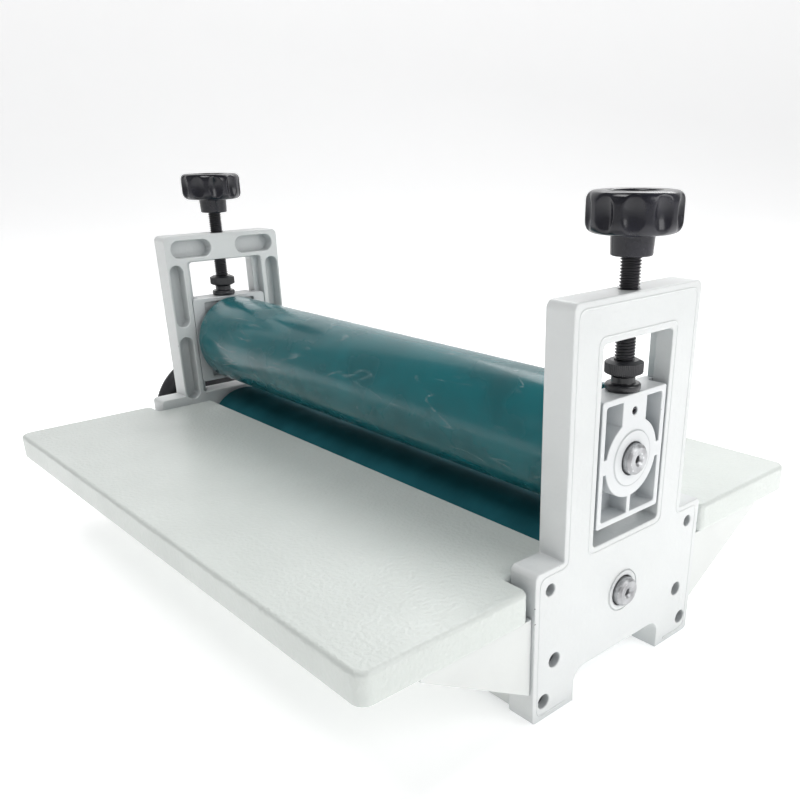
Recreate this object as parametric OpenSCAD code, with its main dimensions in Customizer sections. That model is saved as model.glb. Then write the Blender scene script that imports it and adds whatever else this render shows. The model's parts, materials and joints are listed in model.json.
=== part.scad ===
/* [End frames] */
// Clear width between the two end frames
frame_gap = 386; // [300:1:700]
// Thickness of each cast end frame
frame_t = 17; // [16:0.5:20]
// Height of the end frames
frame_h = 210; // [208:1:230]
// Width of the upright part, front to back
column_w = 97; // [97:1:110]
// Width of the foot part, front to back
base_w = 137; // [134:1:150]
// Height of the shoulders
shoulder_z = 86.5; // [84:0.5:90]
// Width of the window as seen from outside
window_w = 54; // [53:0.5:56]
// Height of the window
window_h = 102; // [100:1:104]
// Clear width of the arch between the feet
arch_w = 73.6; // [60:0.1:76]
// Height of the arch between the feet
arch_h = 18.9; // [12:0.1:20]

/* [Rollers] */
// Height of the lower roller's axis
lower_z = 53; // [52:0.5:54]
// Height of the upper roller's axis as stored
upper_z = 128; // [127.6:0.2:129]
// Radius over the rubber
rubber_r = 33.2; // [30:0.1:33.4]
// Gap between the end of a roller and the end frame
roller_gap = 5; // [3:0.5:8]
// Radius of the steel tube under the rubber
tube_r = 28; // [24:0.5:29]
// Radius of the journals that run in the bushes
journal_r = 8; // [7:0.5:8]

/* [Tables] */
// Height of the table tops
table_z = 80; // [79.5:0.5:84]
// Height of the folded edges
table_edge = 17.5; // [12:0.5:17.5]
// Distance from the roller axes to the outer edge
table_reach = 171.5; // [150:0.5:220]
// Thickness of the sheet
sheet = 1.5; // [1:0.1:2]

/* [Pressure screws] */
// Radius of the screw over its thread
screw_r = 5; // [4.5:0.1:5]
// Radius of the knobs
knob_r = 22; // [18:0.5:26]
// Number of finger flutes round a knob
knob_flutes = 10; // [6:1:12]

/* [Handwheel] */
// Outer radius of the handwheel
wheel_r = 51; // [44:0.5:51]
// Length of the revolving handle
grip_l = 52.4; // [40:0.1:70]

/* [Hidden] */
$fn = 64;

inner_x = frame_gap / 2;
outer_x = inner_x + frame_t;
mid_x = inner_x + frame_t / 2;
paint = [0.93, 0.94, 0.93];
table_paint = [0.86, 0.88, 0.86];
steel = [0.70, 0.71, 0.72];
black_steel = [0.13, 0.13, 0.15];
black_plastic = [0.08, 0.08, 0.09];
bronze = [0.66, 0.52, 0.30];
teal = [0.10, 0.35, 0.37];

// end frame details
window_z0 = 87;
window_mid = window_z0 + window_h / 2;
rebate_w = 64;
rebate_d = 7;
rebate_top = 1.5;
pocket_d = 10;
// pockets of one half of the inner face: [y, z, width, height, corner radius]
pockets = [
    [27, frame_h - 10, 33, 13, 6.4],
    [41.3, frame_h - 45, 11, 47, 5.4],
    [41.3, frame_h - 101.5, 11, 50, 5.4],
    [33, 49, 22, 44, 5]
];
ring_proud = 0.6;
ring_r = 11.6;
lip_r = journal_r + 0.6;

// bushes
bush_r = 11;
bush_l = 13;
bush_clear = 0.05;
flange_r = 14;
flange_t = 1.5;
thrust_gap = 0.3;

// fasteners of the frames: [y, z] of the holes on the front half
member_bolts = [[-53, 33.2], [-60.3, 11.4]];
table_bolt = [-57.8, 75.2];
seat_d = 8;
hole_gap = 0.1;
m4 = [2, 3.5, 4, 3.2, 4.04];
m3 = [1.5, 2.75, 3, 2.4, 3.17];
m4_bore_r = 4;
m3_bore_r = 3.2;
screw_past_nut = 1.2;

// bearing blocks
block_h = 66;
block_z0 = upper_z - 32.5;
block_top = block_z0 + block_h;
block_half = 25.3;
flange_half = 31.6;
slide_gap = 0.3;
flange_play = 0.4;
rim_y = 22;
rim_z = 29.8;
block_recess = 11;
inner_recess = 3;
boss_r = 20.5;
inner_boss_r = 18;
raised_r = 14.4;
top_web = 19;
low_web = 3;
side_web = 8;

// pressure screws, heights at rest
tip_r = 4;
tip_l = 13.9;
groove_r = 3;
groove_h = 3.4;
pin_z = block_top - 9;
dog_r = 1.3;
foot_gap = 0.15;
foot_h = 3.6;
foot_r = 8.8;
collar_r = 5.9;
collar_h = 3.4;
lock_z = block_top + 7.7;
lock_h = 7.4;
lock_r = 9.5;
lock_chamfer = 1.2;
hub_z = upper_z + 97;
hub_r = 10.3;
hub_h = 9.6;
knob_h = 18.8;
knob_round = 6.5;
dish_r = 12.3;
dish_d = 6;
flute_r = 8;
flute_d = 2.9;
spindle_top = hub_z + 16;

// tables
wide_y = base_w / 2 + 3;
back_y = 29.4;
tongue_half = inner_x - 0.1;
lip_w = 14;
front_lip = 10;
corner_r = 6;
skirt_end = 46;
skirt_z = table_z - table_edge;

// brackets and cross members
bracket_x = outer_x - 2;
bracket_w = 14;
bracket_t = 3;
bracket_low = 17.8;
bracket_tip = base_w / 2 + 70;
bracket_nose = 2.5;
bracket_bolt_zs = [28, 54];
bracket_bolt_ys = [85, 112];
bracket_bolt_x = bracket_x - 8.2;
bracket_bolt_l = 9.5;
cross_t = 2;
cross_y = base_w / 2 - 1.6;
cross_z0 = 3;
cross_h = 41;
cross_d = 24;
cross_lip = 12;
cross_half = inner_x - 0.1;
member_nut_x = cross_half - cross_t - m4[3];
table_nut_x = tongue_half - sheet - m3[3];

// rollers
shoulder_r = journal_r + 2;
shoulder_x = inner_x - flange_t - thrust_gap;
journal_end = outer_x + 4.8;
journal_chamfer = 1.5;
centre_r = 1.8;
centre_d = 5;
sink_r = 3.4;
sink_d = 1.4;
tube_t = 3;
plug_l = 12;
rubber_l = frame_gap - 2 * roller_gap;

// handwheel
wheel_x = outer_x + 43.4;
rim_r = 6.5;
web_t = 6;
wheel_hub_r = 12.5;
hub_in = outer_x + 6.5;
hub_out = outer_x + 50;
stub_r = 6;
stub_end = outer_x + 47;
wheel_screw_r = 3;
handle_z = lower_z - 35;
handle_boss_r = 7.5;
bolt_r = 4;
grip_gap = 0.3;
bolt_head_r = 7.5;
bolt_head_h = 3;
washer_t = 1.6;

// the origin lies on the floor under the middle of the whole machine
left_end = hub_out + grip_l + 2 * grip_gap + bolt_head_h;
right_end = max(journal_end, mid_x + knob_r);
shift_x = (left_end - right_end) / 2;

// ---------- shared shapes ----------

// points of an arc about [cx, cy]
function arc(cx, cy, r, a0, a1, n = 10) =
    [for (i = [0 : n]) [cx + r * cos(a0 + (a1 - a0) * i / n), cy + r * sin(a0 + (a1 - a0) * i / n)]];

// rectangle with true round corners, centred
module soft_rect(w, h, r) {
    square([w - 2 * r, h], center = true);
    square([w, h - 2 * r], center = true);
    for (sx = [-1, 1], sy = [-1, 1])
        translate([sx * (w / 2 - r), sy * (h / 2 - r)])
            circle(r);
}

// a flat outline in y and z, made solid from x0 to x1
module plate_x(x0, x1) {
    translate([x0, 0, 0])
        rotate([90, 0, 90])
            linear_extrude(x1 - x0)
                children();
}

module rod_x(r, x0, x1, y = 0, z = 0) {
    translate([x0, y, z])
        rotate([0, 90, 0])
            cylinder(r = r, h = x1 - x0);
}

module rod_y(r, y0, y1, x, z) {
    translate([x, y1, z])
        rotate([90, 0, 0])
            cylinder(r = r, h = y1 - y0);
}

// turned shape about an axis along x, from [x, radius] points
module turned_x(points, z) {
    translate([0, 0, z])
        rotate([0, 90, 0])
            rotate_extrude()
                polygon([for (p = points) [p[1], p[0]]]);
}

// box given by its lowest and highest corners
module block(lo, hi) {
    translate(lo)
        cube(hi - lo);
}

// the machine is drawn about the middle of its frames, then set over its origin
module placed() {
    translate([shift_x, 0, 0])
        children();
}

module left_copy() {
    mirror([1, 0, 0])
        children();
}

module rear_copy() {
    mirror([0, 1, 0])
        children();
}

// socket-head screw along +x, with the underside of its head at x
module cap_screw_x(kind, x, shank, y, z) {
    difference() {
        union() {
            rod_x(kind[1], x, x + kind[2], y, z);
            rod_x(kind[0], x - shank, x, y, z);
        }
        translate([x + kind[2] / 2, y, z])
            rotate([0, 90, 0])
                cylinder(r = kind[0] * 0.85, h = kind[2], $fn = 6);
    }
}

module hex_nut(kind) {
    difference() {
        cylinder(r = kind[4], h = kind[3], $fn = 6);
        translate([0, 0, -1])
            cylinder(r = kind[0], h = kind[3] + 2);
    }
}

module hex_nut_x(kind, x, y, z) {
    translate([x, y, z])
        rotate([0, 90, 0])
            rotate([0, 0, 30])
                hex_nut(kind);
}

// the four quarters of the machine: right and left, front and rear
module each_corner() {
    for (sx = [0, 1], sy = [0, 1])
        mirror([sx, 0, 0])
            mirror([0, sy, 0])
                children();
}

// ---------- end frames ----------

module frame_outline() {
    difference() {
        union() {
            translate([0, frame_h / 2])
                soft_rect(column_w, frame_h, 4);
            translate([0, shoulder_z / 2])
                soft_rect(base_w, shoulder_z, 3);
        }
        soft_rect(arch_w, 2 * arch_h, 8);
        translate([0, window_mid])
            soft_rect(window_w, window_h, 2.5);
    }
}

// recesses in the inner face, left by the ribs of the casting
module frame_pockets() {
    for (side = [-1, 1], p = pockets)
        translate([side * p[0], p[1]])
            soft_rect(p[2], p[3], p[4]);
}

module frame_bores() {
    for (b = member_bolts) {
        rod_x(m4[0] + hole_gap, inner_x - 1, outer_x + 1, b[0], b[1]);
        rod_x(m4_bore_r, outer_x - seat_d, outer_x + 1, b[0], b[1]);
    }
    rod_x(m3[0] + hole_gap, inner_x - 1, outer_x + 1, table_bolt[0], table_bolt[1]);
    rod_x(m3_bore_r, outer_x - seat_d, outer_x + 1, table_bolt[0], table_bolt[1]);
    for (z = bracket_bolt_zs)
        rod_y(m4[0], -base_w / 2 - 1, -base_w / 2 + bracket_bolt_l, bracket_bolt_x, z);
}

module end_frame() {
    color(paint)
        difference() {
            union() {
                plate_x(inner_x, outer_x)
                    frame_outline();
                rod_x(ring_r, mid_x, outer_x + ring_proud, 0, lower_z);
            }
            plate_x(inner_x - 1, inner_x + rebate_d)
                translate([0, window_mid + rebate_top / 2])
                    soft_rect(rebate_w, window_h + rebate_top, 2.5);
            plate_x(inner_x - 1, inner_x + pocket_d)
                frame_pockets();
            rod_x(bush_r, inner_x - 1, inner_x + bush_l, 0, lower_z);
            rod_x(lip_r, mid_x, outer_x + 2, 0, lower_z);
            translate([mid_x, 0, window_mid])
                cylinder(r = screw_r + 0.05, h = frame_h);
            frame_bores();
            rear_copy()
                frame_bores();
        }
}

module right_frame() {
    placed()
        end_frame();
}

module left_frame() {
    placed()
        left_copy()
            end_frame();
}

// ---------- tables ----------

module table_outline(inset) {
    translate([0, -(table_reach + wide_y) / 2])
        soft_rect(2 * (outer_x - inset), table_reach - wide_y - 2 * inset, corner_r - inset);
    translate([inset - tongue_half, inset - wide_y - corner_r])
        square([2 * (tongue_half - inset), wide_y + corner_r - back_y - 2 * inset]);
}

// folded sheet tray: edges turned down, with a lip turned in under the wide part
module table() {
    color(table_paint)
        difference() {
            translate([0, 0, skirt_z])
                linear_extrude(table_edge)
                    table_outline(0);
            translate([0, 0, skirt_z + sheet])
                linear_extrude(table_edge - 2 * sheet)
                    table_outline(sheet);
            block([lip_w - outer_x, front_lip - table_reach, skirt_z - 1],
                  [outer_x - lip_w, -wide_y - corner_r, skirt_z + sheet + 0.1]);
            block([sheet - tongue_half, -wide_y - corner_r - 1, skirt_z - 1],
                  [tongue_half - sheet, 0, skirt_z + sheet + 0.1]);
            block([-outer_x, -skirt_end, skirt_z - 1], [outer_x, 0, table_z - sheet]);
            for (side = [-1, 1]) {
                rod_x(m3[0] + hole_gap, side * tongue_half - 4, side * tongue_half + 4,
                      table_bolt[0], table_bolt[1]);
                for (y = bracket_bolt_ys)
                    translate([side * bracket_bolt_x, -y, skirt_z - 1])
                        cylinder(r = m4[0] + hole_gap, h = sheet + 2);
            }
        }
}

module front_table() {
    placed()
        table();
}

module rear_table() {
    placed()
        rear_copy()
            table();
}

// ---------- brackets under the tables ----------

module bracket() {
    y0 = -base_w / 2;
    tip = -bracket_tip;
    color(paint)
        difference() {
            union() {
                plate_x(bracket_x - bracket_t, bracket_x)
                    polygon([[y0, bracket_low], [y0, skirt_z],
                             [tip, skirt_z], [tip, skirt_z - bracket_nose]]);
                block([bracket_x - bracket_w, tip + 6, skirt_z - bracket_t], [bracket_x, y0, skirt_z]);
                block([bracket_x - bracket_w, y0 - bracket_t, bracket_low + 2], [bracket_x, y0, skirt_z]);
            }
            for (z = bracket_bolt_zs)
                rod_y(m4[0] + hole_gap, y0 - 10, y0 + 1, bracket_bolt_x, z);
            for (y = bracket_bolt_ys)
                translate([bracket_bolt_x, -y, skirt_z - 10])
                    cylinder(r = m4[0] + hole_gap, h = 20);
        }
}

module front_right_bracket() {
    placed()
        bracket();
}

module front_left_bracket() {
    placed()
        left_copy()
            bracket();
}

module rear_right_bracket() {
    placed()
        rear_copy()
            bracket();
}

module rear_left_bracket() {
    placed()
        left_copy()
            rear_copy()
                bracket();
}

// ---------- cross members ----------

module cross_member() {
    w = cross_half;
    color(paint)
        difference() {
            union() {
                block([-w, -cross_y, cross_z0], [w, cross_t - cross_y, cross_z0 + cross_h]);
                block([-w, -cross_y, cross_z0 + cross_h - cross_t],
                      [w, cross_lip - cross_y, cross_z0 + cross_h]);
                for (side = [-1, 1])
                    block([side * (w - cross_t / 2) - cross_t / 2, -cross_y, cross_z0],
                          [side * (w - cross_t / 2) + cross_t / 2, cross_d - cross_y, cross_z0 + cross_h]);
            }
            for (b = member_bolts)
                rod_x(m4[0] + hole_gap, -w - 1, w + 1, b[0], b[1]);
        }
}

module front_cross_member() {
    placed()
        cross_member();
}

module rear_cross_member() {
    placed()
        rear_copy()
            cross_member();
}

// ---------- fasteners ----------

module frame_screws() {
    color(black_steel)
        placed()
            each_corner()
                for (b = member_bolts)
                    cap_screw_x(m4, outer_x - seat_d, outer_x - seat_d - member_nut_x + screw_past_nut,
                                b[0], b[1]);
}

module frame_nuts() {
    color(steel)
        placed()
            each_corner()
                for (b = member_bolts)
                    hex_nut_x(m4, member_nut_x, b[0], b[1]);
}

module table_screws() {
    color(black_steel)
        placed()
            each_corner()
                cap_screw_x(m3, outer_x - seat_d, outer_x - seat_d - table_nut_x + screw_past_nut,
                            table_bolt[0], table_bolt[1]);
}

module table_nuts() {
    color(steel)
        placed()
            each_corner()
                hex_nut_x(m3, table_nut_x, table_bolt[0], table_bolt[1]);
}

// screws from the brackets into the front and rear faces of the frames
module bracket_frame_screws() {
    color(steel)
        placed()
            each_corner()
                for (z = bracket_bolt_zs)
                    translate([bracket_bolt_x, 0, z])
                        rotate([0, 0, -90])
                            cap_screw_x(m4, base_w / 2 + bracket_t, bracket_t + bracket_bolt_l, 0, 0);
}

// screws up through the brackets into the lips of the tables
module bracket_table_screws() {
    color(steel)
        placed()
            each_corner()
                for (y = bracket_bolt_ys)
                    translate([bracket_bolt_x, -y, skirt_z - bracket_t])
                        rotate([0, 90, 0])
                            cap_screw_x(m4, 0, bracket_t + sheet + m4[3] + screw_past_nut, 0, 0);
}

module bracket_table_nuts() {
    color(steel)
        placed()
            each_corner()
                for (y = bracket_bolt_ys)
                    translate([bracket_bolt_x, -y, skirt_z + sheet])
                        hex_nut(m4);
}

// ---------- bushes ----------

// flanged bush, with its flange inside and its outer end at x + bush_l
module bush(x, z) {
    color(bronze)
        difference() {
            union() {
                rod_x(bush_r, x, x + bush_l, 0, z);
                rod_x(flange_r, x - flange_t, x, 0, z);
            }
            rod_x(journal_r + bush_clear, x - 5, x + bush_l + 5, 0, z);
        }
}

module right_lower_bush() {
    placed()
        bush(inner_x, lower_z);
}

module left_lower_bush() {
    placed()
        left_copy()
            bush(inner_x, lower_z);
}

module right_upper_bush() {
    placed()
        bush(inner_x + slide_gap, upper_z);
}

module left_upper_bush() {
    placed()
        left_copy()
            bush(inner_x + slide_gap, upper_z);
}

// ---------- sliding bearing blocks ----------

module bearing_block() {
    in_x = inner_x + slide_gap;
    mid_z = block_z0 + block_h / 2;
    color(paint)
        difference() {
            union() {
                plate_x(in_x, outer_x)
                    translate([0, mid_z])
                        soft_rect(2 * block_half, block_h, 1.5);
                plate_x(in_x, inner_x + rebate_d - flange_play)
                    translate([0, mid_z])
                        soft_rect(2 * flange_half, block_h, 2.8);
                rod_x(raised_r, mid_x, outer_x + ring_proud, 0, upper_z);
            }
            plate_x(outer_x - block_recess, outer_x + 1)
                difference() {
                    translate([0, mid_z])
                        soft_rect(2 * rim_y, 2 * rim_z, 1.5);
                    translate([0, upper_z])
                        circle(boss_r);
                    translate([-top_web / 2, upper_z])
                        square([top_web, block_h]);
                    translate([-low_web / 2, upper_z - block_h])
                        square([low_web, block_h]);
                    translate([-rim_y - 1, upper_z - side_web / 2])
                        square([2 * rim_y + 2, side_web]);
                }
            plate_x(in_x - 1, in_x + inner_recess)
                difference() {
                    translate([0, mid_z])
                        soft_rect(2 * rim_y, 2 * rim_z, 1.5);
                    translate([0, upper_z])
                        circle(inner_boss_r);
                }
            rod_x(bush_r, in_x - 1, in_x + bush_l, 0, upper_z);
            rod_x(lip_r, mid_x, outer_x + 2, 0, upper_z);
            translate([mid_x, 0, block_top - tip_l - 0.6])
                cylinder(r = tip_r + 0.05, h = tip_l + 2);
            rod_x(m4[0], mid_x + 3, outer_x + 2, 0, pin_z);
        }
}

module right_bearing_block() {
    placed()
        bearing_block();
}

module left_bearing_block() {
    placed()
        left_copy()
            bearing_block();
}

// grub screw whose dog point runs in the groove of the pressure screw
module retaining_screw() {
    dog_x = mid_x + groove_r + 0.2;
    color(black_steel)
        difference() {
            union() {
                rod_x(dog_r, dog_x, dog_x + 2, 0, pin_z);
                rod_x(m4[0], dog_x + 0.9, dog_x + 4.6, 0, pin_z);
            }
            translate([dog_x + 2.6, 0, pin_z])
                rotate([0, 90, 0])
                    cylinder(r = 1.15, h = 3, $fn = 6);
        }
}

module right_retaining_screw() {
    placed()
        retaining_screw();
}

module left_retaining_screw() {
    placed()
        left_copy()
            retaining_screw();
}

// ---------- pressure screws ----------

// the thread is left plain at its outer diameter
module spindle() {
    foot_z = block_top + foot_gap;
    color(black_steel)
        translate([mid_x, 0, 0])
            rotate_extrude()
                polygon(concat(
                    [[0, block_top - tip_l], [tip_r, block_top - tip_l]],
                    [[tip_r, pin_z - groove_h / 2], [groove_r, pin_z - groove_h / 2]],
                    [[groove_r, pin_z + groove_h / 2], [tip_r, pin_z + groove_h / 2]],
                    [[tip_r, foot_z]],
                    arc(foot_r - 1.2, foot_z + 1.2, 1.2, -90, 0, 6),
                    arc(foot_r - 1.2, foot_z + foot_h - 1.2, 1.2, 0, 90, 6),
                    [[collar_r, foot_z + foot_h], [collar_r, foot_z + foot_h + collar_h]],
                    [[screw_r, foot_z + foot_h + collar_h], [screw_r, spindle_top], [0, spindle_top]]));
}

module lock_nut() {
    c = lock_chamfer;
    color(black_steel)
        translate([mid_x, 0, lock_z])
            rotate_extrude()
                polygon([[screw_r, 0], [lock_r - 2 * c, 0], [lock_r, c], [lock_r, lock_h - c],
                         [lock_r - 2 * c, lock_h], [screw_r, lock_h]]);
}

module knob() {
    grip_z = hub_h;
    top_z = hub_h + knob_h;
    r = knob_round;
    color(black_plastic)
        translate([mid_x, 0, hub_z])
            difference() {
                rotate_extrude()
                    polygon(concat(
                        [[screw_r, 0], [hub_r - 0.5, 0], [hub_r, grip_z]],
                        arc(knob_r - r, grip_z + r, r, -90, 0),
                        arc(knob_r - r, top_z - r, r, 0, 90),
                        [[dish_r, top_z], [dish_r - 2, top_z - dish_d], [0, top_z - dish_d],
                         [0, spindle_top - hub_z], [screw_r, spindle_top - hub_z]]));
                for (i = [0 : knob_flutes - 1])
                    rotate([0, 0, (i + 0.5) * 360 / knob_flutes])
                        translate([knob_r + flute_r - flute_d, 0, grip_z - 1])
                            cylinder(r = flute_r, h = knob_h + 2);
            }
}

module right_spindle() {
    placed()
        spindle();
}

module right_lock_nut() {
    placed()
        lock_nut();
}

module right_knob() {
    placed()
        knob();
}

module left_spindle() {
    placed()
        left_copy()
            spindle();
}

module left_lock_nut() {
    placed()
        left_copy()
            lock_nut();
}

module left_knob() {
    placed()
        left_copy()
            knob();
}

// ---------- rollers ----------

// half profile of a plain shaft end, from the shoulder out
function shaft_end(end_x) =
    [[shoulder_x, shoulder_r], [shoulder_x, journal_r],
     [end_x - journal_chamfer, journal_r], [end_x, journal_r - journal_chamfer], [end_x, 0]];

// countersunk centre hole left by turning
module centre_drilling(z, end_x) {
    turned_x([[end_x - centre_d, 0], [end_x - centre_d, centre_r], [end_x - sink_d, centre_r],
              [end_x, sink_r], [end_x + 1, sink_r], [end_x + 1, 0]], z);
}

module upper_shaft() {
    color(steel)
        placed()
            difference() {
                union() {
                    turned_x(concat([[0, 0], [0, shoulder_r]], shaft_end(journal_end)), upper_z);
                    left_copy()
                        turned_x(concat([[0, 0], [0, shoulder_r]], shaft_end(journal_end)), upper_z);
                }
                centre_drilling(upper_z, journal_end);
                left_copy()
                    centre_drilling(upper_z, journal_end);
            }
}

module lower_shaft() {
    color(steel)
        placed()
            difference() {
                union() {
                    turned_x(concat([[0, 0], [0, shoulder_r]], shaft_end(journal_end)), lower_z);
                    left_copy()
                        turned_x([[0, 0], [0, shoulder_r], [shoulder_x, shoulder_r],
                                  [shoulder_x, journal_r], [hub_in, journal_r], [hub_in, stub_r],
                                  [stub_end, stub_r], [stub_end, 0]], lower_z);
                }
                centre_drilling(lower_z, journal_end);
                left_copy()
                    rod_x(wheel_screw_r, stub_end - 14, stub_end + 1, 0, lower_z);
            }
}

module end_plugs(z) {
    color(steel)
        placed()
            for (side = [0, 1])
                mirror([side, 0, 0])
                    difference() {
                        rod_x(tube_r - tube_t, rubber_l / 2 - plug_l, rubber_l / 2, 0, z);
                        rod_x(shoulder_r, rubber_l / 2 - plug_l - 1, rubber_l / 2 + 1, 0, z);
                    }
}

module sleeve(r_out, r_in, z) {
    placed()
        difference() {
            rod_x(r_out, -rubber_l / 2, rubber_l / 2, 0, z);
            rod_x(r_in, -rubber_l / 2 - 1, rubber_l / 2 + 1, 0, z);
        }
}

module upper_end_plugs() {
    end_plugs(upper_z);
}

module lower_end_plugs() {
    end_plugs(lower_z);
}

module upper_tube() {
    color(steel)
        sleeve(tube_r, tube_r - tube_t, upper_z);
}

module lower_tube() {
    color(steel)
        sleeve(tube_r, tube_r - tube_t, lower_z);
}

module upper_rubber() {
    color(teal)
        sleeve(rubber_r, tube_r, upper_z);
}

module lower_rubber() {
    color(teal)
        sleeve(rubber_r, tube_r, lower_z);
}

// ---------- handwheel ----------

module wheel_body() {
    web_in = wheel_x - web_t / 2;
    web_out = wheel_x + web_t / 2;
    turned_x([[hub_in, stub_r], [hub_in, wheel_hub_r - 1.5], [hub_in + 1.5, wheel_hub_r],
              [web_in, wheel_hub_r], [web_in, wheel_r - rim_r], [web_out, wheel_r - rim_r],
              [web_out, wheel_hub_r], [hub_out - 1.5, wheel_hub_r], [hub_out, wheel_hub_r - 1.5],
              [hub_out, stub_r]], lower_z);
    turned_x(arc(wheel_x, wheel_r - rim_r, rim_r, 0, 360, 36), lower_z);
    rod_x(handle_boss_r, web_in - 3, hub_out, 0, handle_z);
}

module handwheel() {
    color(black_plastic)
        placed()
            left_copy()
                difference() {
                    wheel_body();
                    rod_x(bolt_r - 1, hub_in, hub_out + 1, 0, handle_z);
                    translate([hub_in + 7, 0, lower_z])
                        cylinder(r = m4[0], h = wheel_hub_r + 1);
                }
}

module wheel_washer() {
    color(steel)
        placed()
            left_copy()
                difference() {
                    rod_x(8, hub_out, hub_out + washer_t, 0, lower_z);
                    rod_x(wheel_screw_r + hole_gap, hub_out - 1, hub_out + washer_t + 1, 0, lower_z);
                }
}

module wheel_screw() {
    color(steel)
        placed()
            left_copy()
                cap_screw_x([wheel_screw_r, 5, 5], hub_out + washer_t, 16, 0, lower_z);
}

// grub screw that keys the hub to the shaft
module hub_set_screw() {
    color(black_steel)
        placed()
            left_copy()
                translate([hub_in + 7, 0, lower_z + stub_r])
                    difference() {
                        cylinder(r = m4[0], h = 5.5);
                        translate([0, 0, 3])
                            cylinder(r = 1.15, h = 3, $fn = 6);
                    }
}

module handle_bolt() {
    grip_end = hub_out + grip_l + 2 * grip_gap;
    color(steel)
        placed()
            left_copy()
                difference() {
                    union() {
                        rod_x(bolt_r - 1, wheel_x - web_t / 2 - 3, hub_out, 0, handle_z);
                        rod_x(bolt_r, hub_out, grip_end, 0, handle_z);
                        rod_x(bolt_head_r, grip_end, left_end, 0, handle_z);
                    }
                    block([left_end - 1.2, -bolt_head_r - 1, handle_z - 0.6],
                          [left_end + 1, bolt_head_r + 1, handle_z + 0.6]);
                }
}

module handle_grip() {
    x0 = hub_out + grip_gap;
    x1 = x0 + grip_l;
    bore = bolt_r + bush_clear;
    color(black_plastic)
        placed()
            left_copy()
                turned_x(concat([[x0, bore], [x0, 6.5]],
                                arc(x0 + 3, 7.2, 1.6, 180, 90, 4),
                                [[x0 + 16, 8.1], [x1 - 20, 9.4]],
                                arc(x1 - 8, 1.6, 8, 90, 28, 8),
                                [[x1, bore + 1], [x1, bore]]), handle_z);
}

// ---------- the machine ----------

right_frame();
left_frame();
front_table();
rear_table();
front_right_bracket();
front_left_bracket();
rear_right_bracket();
rear_left_bracket();
front_cross_member();
rear_cross_member();
frame_screws();
frame_nuts();
table_screws();
table_nuts();
bracket_frame_screws();
bracket_table_screws();
bracket_table_nuts();
right_lower_bush();
left_lower_bush();
right_bearing_block();
left_bearing_block();
right_upper_bush();
left_upper_bush();
right_retaining_screw();
left_retaining_screw();
right_spindle();
right_lock_nut();
right_knob();
left_spindle();
left_lock_nut();
left_knob();
upper_shaft();
upper_end_plugs();
upper_tube();
upper_rubber();
lower_shaft();
lower_end_plugs();
lower_tube();
lower_rubber();
handwheel();
wheel_washer();
wheel_screw();
hub_set_screw();
handle_bolt();
handle_grip();
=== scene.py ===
import bmesh
import bpy
import json
import math
from mathutils import Matrix, Vector, noise

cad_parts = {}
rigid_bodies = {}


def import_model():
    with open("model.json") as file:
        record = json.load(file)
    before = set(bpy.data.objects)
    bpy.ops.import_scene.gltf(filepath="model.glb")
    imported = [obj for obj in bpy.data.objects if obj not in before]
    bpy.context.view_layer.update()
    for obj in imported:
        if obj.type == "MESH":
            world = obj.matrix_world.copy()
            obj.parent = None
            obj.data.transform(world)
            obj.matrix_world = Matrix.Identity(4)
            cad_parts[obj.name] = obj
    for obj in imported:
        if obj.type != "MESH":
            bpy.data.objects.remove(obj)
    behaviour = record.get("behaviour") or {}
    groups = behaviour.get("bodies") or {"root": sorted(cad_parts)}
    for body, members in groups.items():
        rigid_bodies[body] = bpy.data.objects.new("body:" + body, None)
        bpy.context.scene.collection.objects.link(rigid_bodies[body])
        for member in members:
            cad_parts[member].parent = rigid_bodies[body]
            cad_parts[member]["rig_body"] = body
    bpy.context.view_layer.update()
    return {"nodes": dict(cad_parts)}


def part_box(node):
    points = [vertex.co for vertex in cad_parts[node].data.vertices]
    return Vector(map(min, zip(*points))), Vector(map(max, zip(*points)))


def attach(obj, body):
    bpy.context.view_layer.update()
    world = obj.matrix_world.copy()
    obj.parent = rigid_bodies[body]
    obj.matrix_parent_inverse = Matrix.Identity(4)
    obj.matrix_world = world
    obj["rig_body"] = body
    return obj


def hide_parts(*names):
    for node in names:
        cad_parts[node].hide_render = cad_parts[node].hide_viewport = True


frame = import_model()
mm = 0.001
turn = 2 * math.pi
print("frame loaded")


# places that many pieces share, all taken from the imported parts
rightLow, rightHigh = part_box("right_frame")
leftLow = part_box("left_frame")[0]
middleX = (rightHigh.x + leftLow.x) / 2
innerX = rightLow.x - middleX
upperLow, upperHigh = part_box("upper_rubber")
lowerLow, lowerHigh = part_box("lower_rubber")
upperZ = (upperLow.z + upperHigh.z) / 2
lowerZ = (lowerLow.z + lowerHigh.z) / 2
rubberR = (upperHigh.z - upperLow.z) / 2


# ---- shader helpers

def feed(tree, socket, value):
    if isinstance(value, bpy.types.NodeSocket):
        tree.links.new(value, socket)
    else:
        socket.default_value = value


def setInputs(tree, node, values):
    for name, value in values.items():
        feed(tree, node.inputs[name], value)


def addNode(tree, kind, values=None, **settings):
    node = tree.nodes.new(kind)
    for name, value in settings.items():
        setattr(node, name, value)
    if values:
        setInputs(tree, node, values)
    return node


def maths(tree, operation, a, b=0.0, clamp=False):
    node = tree.nodes.new("ShaderNodeMath")
    node.operation = operation
    node.use_clamp = clamp
    feed(tree, node.inputs[0], a)
    feed(tree, node.inputs[1], b)
    return node.outputs[0]


def mixColour(tree, factor, a, b, blend="MIX"):
    node = tree.nodes.new("ShaderNodeMix")
    node.data_type = "RGBA"
    node.blend_type = blend
    for place, value in ((0, factor), (6, a), (7, b)):
        feed(tree, node.inputs[place], value)
    return node.outputs[2]


def spread(tree, value, low, high, toLow=0.0, toHigh=1.0):
    node = tree.nodes.new("ShaderNodeMapRange")
    setInputs(tree, node, {"Value": value, "From Min": low, "From Max": high,
                           "To Min": toLow, "To Max": toHigh})
    return node.outputs[0]


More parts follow.
